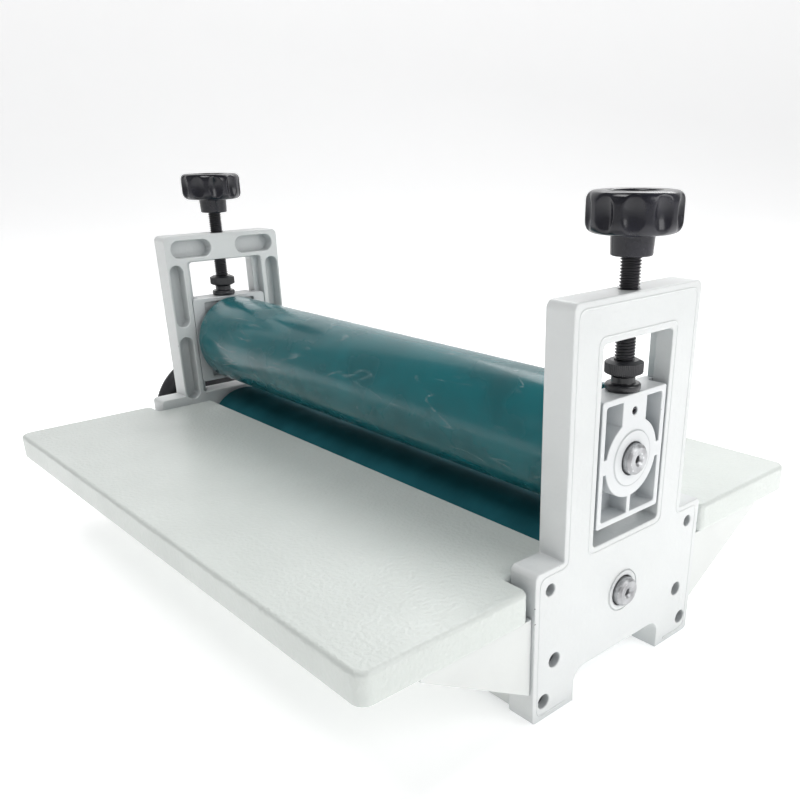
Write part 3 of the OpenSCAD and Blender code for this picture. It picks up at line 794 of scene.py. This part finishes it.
def makeRubber(name, node, body, axisZ, finish):
    low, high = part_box(node)
    tubeLow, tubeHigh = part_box(node.replace("rubber", "tube"))
    bore = (tubeHigh.z - tubeLow.z) / 2
    rounding = rollerLook["edgeRound"]
    half = (high.x - low.x) / 2
    outline = [(-half, bore + 0.01 * mm, 0), (-half, rubberR, rounding), (half, rubberR, rounding),
               (half, bore + 0.01 * mm, 0)]
    shape = bmesh.new()
    turnedShape(shape, roundCorners(outline), alongX(middleX, axisZ), rollerLook["segments"], closed=True)
    finishPiece(name, meshFrom(shape, node + "Mesh"), finish, body, [node])


def makeFilm():
    look = rollerLook
    half = (upperHigh.x - upperLow.x) / 2 + look["filmPast"]
    rows, around = look["filmRows"], look["filmAround"]
    shape = bmesh.new()
    grid = []
    ends = [(-half, rubberR - look["filmFold"]), (-half, rubberR - look["filmFold"] / 2),
            (-half, rubberR - 0.3 * mm)]
    stations = ends + [(-half + 2 * half * k / rows, rubberR + look["filmLift"]) for k in range(rows + 1)]
    stations += [(-x, radius) for x, radius in reversed(ends)]
    for x, radius in stations:
        ring = []
        for i in range(around):
            angle = turn * i / around
            across, up = math.cos(angle), math.sin(angle)
            place = Vector((x * 9, across * 1.6, up * 1.6))
            swell = noise.noise(place * 2.2)
            crease = 1 - min(1, abs(noise.noise(Vector((x * 14, across * 3, up * 3 + 7)))) * 9)
            folds = 0.55 * max(0, crease) * max(0, swell + 0.3)
            lift = look["creaseHeight"] * (0.35 + 0.35 * swell + folds)
            size = radius + max(0, min(lift, 0.17 * mm))
            ring.append(shape.verts.new((middleX + x, across * size, upperZ + up * size)))
        grid.append(ring)
    for first, second in zip(grid, grid[1:]):
        for i in range(around):
            j = (i + 1) % around
            shape.faces.new((first[i], first[j], second[j], second[i]))
    finishPiece("upperRollerFilm", meshFrom(shape, "filmMesh"), clearFilm, "upper_roller", (),
                180)


makeRubber("upperRubberSleeve", "upper_rubber", "upper_roller", upperZ, wrappedRubber)
makeRubber("lowerRubberSleeve", "lower_rubber", "lower_roller", lowerZ, bareRubber)
makeFilm()
for level, steel in (("upper", upperSteel), ("lower", lowerSteel)):
    roundedPiece(level + "AxleShaft", level + "_shaft", 0.35 * mm, steel, 3)
    roundedPiece(level + "EndDiscs", level + "_end_plugs", 0.4 * mm, coreSteel, 2)
    roundedPiece(level + "SteelTube", level + "_tube", 0.3 * mm, coreSteel, 2)
print("rollers made")


# ---- pressure screws, lock nuts and knobs

screwLook = {
    "pitch": 1.5 * mm,
    "threadDepth": 0.82 * mm,
    "stepsAround": 40,
    "tipRadius": 4 * mm,
    "grooveRadius": 3 * mm,
    "grooveHalf": 1.7 * mm,
    "pinBelowTop": 9 * mm,
    "footHeight": 3.6 * mm,
    "footGap": 0.15 * mm,
    "collarRadius": 5.9 * mm,
    "collarHeight": 3.4 * mm,
    "stemRadius": 5 * mm,
    "footRound": 1.3 * mm,
}
nutLook = {
    "teeth": 64,
    "toothDepth": 0.28 * mm,
    "chamfer": 1.2 * mm,
}
knobLook = {
    "hubHeight": 9.6 * mm,
    "hubRadius": 10.3 * mm,
    "flutes": 10,
    "fluteDepth": 2.6 * mm,
    "fluteShare": 0.74,           # width of a flute against the room for it
    "fluteHalfHeight": 8.6 * mm,
    "shoulderRound": 11 * mm,
    "dishRadius": 12.3 * mm,
    "dishDepth": 6 * mm,
    "around": 240,
}


def makePressureScrew(word):
    look = screwLook
    low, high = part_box(f"{word}_spindle")
    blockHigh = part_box(f"{word}_bearing_block")[1]
    centreX = (low.x + high.x) / 2
    footZ = blockHigh.z + look["footGap"]
    footR = (high.x - low.x) / 2
    pinZ = blockHigh.z - look["pinBelowTop"]
    tip, groove, half = look["tipRadius"], look["grooveRadius"], look["grooveHalf"]
    rounding = look["footRound"]
    footTop = footZ + look["footHeight"]
    collar = look["collarRadius"]
    collarTop = footTop + look["collarHeight"]
    outline = [(low.z, 0, 0), (low.z, tip, 0.4 * mm),
               (pinZ - half, tip, 0.1 * mm), (pinZ - half, groove, 0.2 * mm),
               (pinZ + half, groove, 0.2 * mm), (pinZ + half, tip, 0.1 * mm),
               (footZ, tip, 0), (footZ, footR, rounding),
               (footTop, footR, rounding), (footTop, collar, 0.7 * mm), (collarTop, collar, 0.5 * mm),
               (collarTop, look["stemRadius"] - 0.9 * mm, 0), (collarTop, 0, 0)]
    shape = bmesh.new()
    turnedShape(shape, roundCorners(outline), alongZ(centreX, 0), 64)
    addThread(shape, centreX, collarTop - 0.2 * mm, high.z - 1.2 * mm)
    finishPiece(word + "PressureScrew", meshFrom(shape, word + "ScrewMesh"), oiledSteel,
                word + "_pressure_screw", [f"{word}_spindle"], 40)


# V thread whose crests and roots follow the helix
def addThread(shape, centreX, bottom, top):
    look = screwLook
    around, pitch = look["stepsAround"], look["pitch"]
    crest = look["stemRadius"] - 0.02 * mm
    root = crest - look["threadDepth"]
    section = [(0.0, crest), (0.13, crest), (0.44, root), (0.6, root)]
    turns = int((top - bottom) / pitch) - 1
    rows = []
    for k in range(turns * len(section) + len(section)):
        step, radius = section[k % len(section)]
        base = bottom + (k // len(section) + step) * pitch
        rows.append((base, radius))
    levels = turns * len(section)
    grid = []
    for i in range(around):
        angle = turn * i / around
        climb = pitch * i / around
        grid.append([shape.verts.new((centreX + r * math.cos(angle), r * math.sin(angle), z + climb))
                     for z, r in rows])
    for i in range(around):
        j = (i + 1) % around
        shift = len(section) if j == 0 else 0
        for k in range(levels - 1):
            shape.faces.new((grid[i][k], grid[j][k + shift], grid[j][k + shift + 1], grid[i][k + 1]))
    for k, z in ((0, bottom), (levels - 1, bottom + turns * pitch)):
        rim = [grid[i][k] for i in range(around)]
        rim += [grid[0][k + len(section) - n] for n in range(len(section))]
        hub = shape.verts.new((centreX, 0, z + (0 if k else pitch)))
        for a, b in zip(rim, rim[1:] + rim[:1]):
            if a is not b:
                shape.faces.new((a, b, hub))
    loose = [v for v in shape.verts if not v.link_faces]
    bmesh.ops.delete(shape, geom=loose, context="VERTS")


def makeLockNut(word):
    look = nutLook
    node = f"{word}_lock_nut"
    low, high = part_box(node)
    centreX = (low.x + high.x) / 2
    outer = (high.x - low.x) / 2
    height = high.z - low.z
    bore = screwLook["stemRadius"] + 0.02 * mm
    chamfer = look["chamfer"]
    around = look["teeth"] * 4
    profile = [(0, bore, 0), (0, outer - 2 * chamfer, 0),
               (chamfer * 0.94, outer - 0.2 * mm, 0), (chamfer * 1.15, outer, 1),
               (height - chamfer * 1.15, outer, 1), (height - chamfer * 0.94, outer - 0.2 * mm, 0),
               (height, outer - 2 * chamfer, 0), (height, bore, 0)]
    shape = bmesh.new()
    rings = []
    for z, radius, knurled in profile:
        ring = []
        for i in range(around):
            angle = turn * i / around
            cut = (0, 0.7, 1, 0.7)[i % 4] * look["toothDepth"] * knurled
            ring.append(shape.verts.new((centreX + (radius - cut) * math.cos(angle),
                                         (radius - cut) * math.sin(angle), low.z + z)))
        rings.append(ring)
    for lower, upper in zip(rings, rings[1:] + rings[:1]):
        for i in range(around):
            j = (i + 1) % around
            shape.faces.new((lower[i], lower[j], upper[j], upper[i]))
    finishPiece(word + "KnurledLockNut", meshFrom(shape, node + "Mesh"), oiledSteel,
                word + "_pressure_screw", [node], 22)


def makeKnob(word):
    look = knobLook
    node = f"{word}_knob"
    low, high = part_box(node)
    centreX = (low.x + high.x) / 2
    outer = (high.x - low.x) / 2
    height = high.z - low.z
    hub, hubTop = look["hubRadius"], look["hubHeight"]
    shoulder, dish = look["shoulderRound"], look["dishRadius"]
    dishZ = height - look["dishDepth"]
    outline = [(0, screwLook["stemRadius"] + 0.03 * mm, 0), (0, hub - 0.5 * mm, 0.8 * mm),
               (hubTop + 0.2 * mm, hub, 1.2 * mm),
               (hubTop, outer, shoulder), (height, outer, shoulder), (height - 0.1 * mm, dish, 1.6 * mm),
               (dishZ, dish - 2 * mm, 1.6 * mm), (dishZ, 0, 0)]
    profile = roundCorners(outline, 10)
    fine = []
    for first, second in zip(profile, profile[1:]):
        gap = (Vector(second) - Vector(first)).length
        parts = max(1, round(gap / (0.9 * mm)))
        fine += [tuple(Vector(first).lerp(Vector(second), n / parts)) for n in range(parts)]
    fine.append(profile[-1])
    middle = (hubTop + height) / 2
    shape = bmesh.new()
    rings = []
    for z, radius in fine:
        if radius < 1e-7:
            rings.append([shape.verts.new((centreX, 0, low.z + z))])
            continue
        ring = []
        for i in range(look["around"]):
            angle = turn * i / look["around"]
            nearest = ((angle / turn * look["flutes"]) % 1 - 0.5) * 2 / look["fluteShare"]
            rise = (z - middle) / look["fluteHalfHeight"]
            inside = 1 - abs(nearest) ** 2.2 - abs(rise) ** 2.4
            rim = max(0, min(1, (radius - dish - mm) / (4 * mm)))
            cut = look["fluteDepth"] * rim * smoothFloor(inside)
            size = radius - cut
            ring.append(shape.verts.new((centreX + size * math.cos(angle), size * math.sin(angle),
                                         low.z + z)))
        rings.append(ring)
    for lower, upper in zip(rings, rings[1:]):
        for i in range(look["around"]):
            j = (i + 1) % look["around"]
            if len(upper) == 1:
                shape.faces.new((lower[i], lower[j], upper[0]))
            else:
                shape.faces.new((lower[i], lower[j], upper[j], upper[i]))
    inner = shape.verts.new((centreX, 0, low.z + 0.4 * mm))
    for i in range(look["around"]):
        shape.faces.new((rings[0][(i + 1) % look["around"]], rings[0][i], inner))
    finishPiece(word + "FlutedKnob", meshFrom(shape, node + "Mesh"), knobPlastic,
                word + "_pressure_screw", [node], 60)


# zero below, and rising softly from there
def smoothFloor(value):
    if value <= 0:
        return 0
    return value * value / (value + 0.06)


for word in ("right", "left"):
    makePressureScrew(word)
    makeLockNut(word)
    makeKnob(word)
print("pressure screws made")


# ---- handwheel and its handle

wheelLook = {
    "rimTube": 6.5 * mm,
    "webHalf": 3 * mm,
    "hubRadius": 12.5 * mm,
    "stubRadius": 6 * mm,
    "fillet": 3.2 * mm,
    "bossRadius": 7.5 * mm,
    "segments": 144,
}
gripLook = {
    "bore": 4.05 * mm,
    "waist": 6.9 * mm,
    "swell": 9.5 * mm,
    "collar": 8.6 * mm,
    "segments": 72,
}


def makeHandwheel():
    look = wheelLook
    low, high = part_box("handwheel")
    outer = high.z - lowerZ
    tube, web, hub = look["rimTube"], look["webHalf"], look["hubRadius"]
    rimX = low.x + 6.6 * mm
    inner = outer - tube
    hubIn, hubOut = high.x - rimX, low.x - rimX
    fillet = look["fillet"]
    outline = [(hubIn, look["stubRadius"], 0), (hubIn, hub, 1.4 * mm), (web, hub, fillet),
               (web, inner - tube + 1.2 * mm, 1.0 * mm)]
    start = math.asin(min(1, (web + 0.4 * mm) / tube))
    arcSteps = 28
    for step in range(arcSteps + 1):
        angle = start + (turn - 2 * start) * step / arcSteps
        outline.append((tube * math.sin(angle), inner - tube * math.cos(angle), 0))
    outline += [(-web, inner - tube + 1.2 * mm, 1.0 * mm), (-web, hub, fillet), (hubOut, hub, 1.4 * mm),
                (hubOut, look["stubRadius"], 0)]
    shape = bmesh.new()
    turnedShape(shape, roundCorners(outline), alongX(rimX, lowerZ), look["segments"], closed=True)
    boltLow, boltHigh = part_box("handle_bolt")
    bossZ = (boltLow.z + boltHigh.z) / 2
    boss = look["bossRadius"]
    bossOutline = [(web + 3 * mm, 3 * mm, 0), (web + 3 * mm, boss, 1.2 * mm), (web - 0.3 * mm, boss, 0),
                   (hubOut + 0.6 * mm, boss, 0), (hubOut, boss - 0.8 * mm, 0.3 * mm), (hubOut, 3 * mm, 0)]
    turnedShape(shape, roundCorners(bossOutline), alongX(rimX, bossZ), 64, closed=True)
    finishPiece("handwheelMoulding", meshFrom(shape, "handwheelMesh"), wheelPlastic, "lower_roller",
                ["handwheel"], 40)


def makeGrip():
    look = gripLook
    low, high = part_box("handle_grip")
    length = high.x - low.x
    axisZ = (low.z + high.z) / 2
    bore = look["bore"]
    outline = [(0, bore, 0), (0, look["collar"] - 0.6 * mm, 0.8 * mm), (2.6 * mm, look["collar"], 1.2 * mm),
               (5.2 * mm, look["waist"] + 0.4 * mm, 1.6 * mm), (14 * mm, look["waist"] + 0.5 * mm, 6 * mm),
               (length * 0.66, look["swell"], 9 * mm), (length - 2 * mm, look["swell"] - 2.2 * mm, 4 * mm),
               (length, bore + 1.2 * mm, 0.6 * mm), (length, bore, 0)]
    shape = bmesh.new()
    turnedShape(shape, roundCorners(outline, 8), alongX(high.x, axisZ, -1), look["segments"], closed=True)
    finishPiece("revolvingGrip", meshFrom(shape, "gripMesh"), gripPlastic, "grip", ["handle_grip"],
                45)


makeHandwheel()
makeGrip()
print("handwheel and handle made")


# ---- floor, light and camera

stageLook = {
    "facing": 47.4,               # degrees round from the object's front
    "floorColour": (0.90, 0.90, 0.90, 1),
    "glow": 0.56,
    "halfWidth": 6.0,
    "wallDistance": 3.2,
    "wallHeight": 4.0,
    "sweepRadius": 1.2,
}


def makeStage():
    look = stageLook
    shape = bmesh.new()
    facing = math.radians(look["facing"])
    away = Vector((-math.sin(facing), math.cos(facing), 0))
    across = Vector((away.y, -away.x, 0))
    radius, distance = look["sweepRadius"], look["wallDistance"]
    section = [(-5.0, 0.0), (distance - radius, 0.0)]
    for step in range(1, 13):
        angle = math.pi / 2 * step / 12
        section.append((distance - radius + radius * math.sin(angle), radius * (1 - math.cos(angle))))
    section.append((distance, look["wallHeight"]))
    rows = [[shape.verts.new(away * run + across * side * look["halfWidth"] + Vector((0, 0, rise - 0.0002)))
             for side in (-1, 1)] for run, rise in section]
    for near, far in zip(rows, rows[1:]):
        shape.faces.new((near[0], near[1], far[1], far[0]))
    mesh = meshFrom(shape, "sweepMesh")
    material, tree, shader = newFinish("paperSweep", {"Roughness": 0.75})
    fibres = addNode(tree, "ShaderNodeTexNoise", {"Vector": objectPoint(tree), "Scale": 6.0, "Detail": 3.0})
    base = look["floorColour"]
    paper = mixColour(tree, fibres.outputs[0], base, tuple(c * 0.985 for c in base[:3]) + (1,))
    setInputs(tree, shader, {"Base Color": paper, "Emission Color": paper,
                             "Emission Strength": look["glow"]})
    mesh.materials.append(material)
    mesh.shade_smooth()
    sweep = bpy.data.objects.new("paperSweep", mesh)
    bpy.context.scene.collection.objects.link(sweep)


# each light: place, the point it faces, width, height and power
lightLook = {
    "rightSoftbox": ((1.08, 0.22, 0.6), (0.2, 0, 0.1), 0.7, 0.7, 4.6),
    "frontSoftbox": ((-0.6, -1.9, 1.3), (0, 0, 0.1), 1.4, 0.9, 1.0),
    "backSoftbox": ((-0.7, 1.3, 1.75), (0, -0.05, 0.1), 1.5, 1.0, 13),
    "rearTableSoftbox": ((0.0, 0.75, 0.85), (0.05, 0.14, 0.08), 0.5, 0.3, 2.0),
    "overheadSoftbox": ((0.05, -0.5, 1.5), (0.08, -0.1, 0.08), 0.6, 0.6, 7.2),
}


def addSoftbox(name, place, target, width, height, power):
    light = bpy.data.lights.new(name, "AREA")
    light.shape = "RECTANGLE"
    light.size = width
    light.size_y = height
    light.energy = power
    light.color = (1.0, 1.0, 1.0)
    lamp = bpy.data.objects.new(name, light)
    lamp.location = place
    lamp.rotation_mode = "QUATERNION"
    lamp.rotation_quaternion = (Vector(target) - Vector(place)).to_track_quat("-Z", "Y")
    bpy.context.scene.collection.objects.link(lamp)


# pale room: bright round the horizon and dimmer overhead
def makeRoomLight():
    world = bpy.data.worlds.new("studioRoom")
    bpy.context.scene.world = world
    world.use_nodes = True
    tree = world.node_tree
    sky = tree.nodes["Background"]
    direction = tree.nodes.new("ShaderNodeTexCoord").outputs["Generated"]
    height = addNode(tree, "ShaderNodeSeparateXYZ", {"Vector": direction}).outputs[2]
    dim = spread(tree, height, 0.12, 0.85)
    setInputs(tree, sky, {"Color": mixColour(tree, dim, (1.0, 1.0, 1.0, 1), (0.42, 0.43, 0.45, 1)),
                          "Strength": 0.34})


cameraLook = {
    "place": (0.48655, -0.3252, 0.2729),
    "azimuth": 47.4,
    "elevation": 23.29,
    "roll": -0.57,
    "lens": 37.45,
    "shiftX": -0.081,
    "shiftY": 0.127,
}


def makeCamera():
    look = cameraLook
    azimuth, elevation, roll = (math.radians(look[k]) for k in ("azimuth", "elevation", "roll"))
    forward = Vector((-math.sin(azimuth) * math.cos(elevation), math.cos(azimuth) * math.cos(elevation),
                      -math.sin(elevation)))
    level = forward.cross(Vector((0, 0, 1))).normalized()
    upright = level.cross(forward)
    right = level * math.cos(roll) + upright * math.sin(roll)
    up = upright * math.cos(roll) - level * math.sin(roll)
    data = bpy.data.cameras.new("mainCamera")
    data.lens = look["lens"]
    data.shift_x = look["shiftX"]
    data.shift_y = look["shiftY"]
    data.clip_start = 0.01
    data.clip_end = 50
    camera = bpy.data.objects.new("mainCamera", data)
    turned = Matrix((right, up, -forward)).transposed()
    camera.matrix_world = Matrix.Translation(look["place"]) @ turned.to_4x4()
    bpy.context.scene.collection.objects.link(camera)
    bpy.context.scene.camera = camera


makeStage()
makeRoomLight()
for name, values in lightLook.items():
    addSoftbox(name, *values)
makeCamera()
bpy.context.scene.view_settings.view_transform = "Standard"
print("stage, light and camera set")
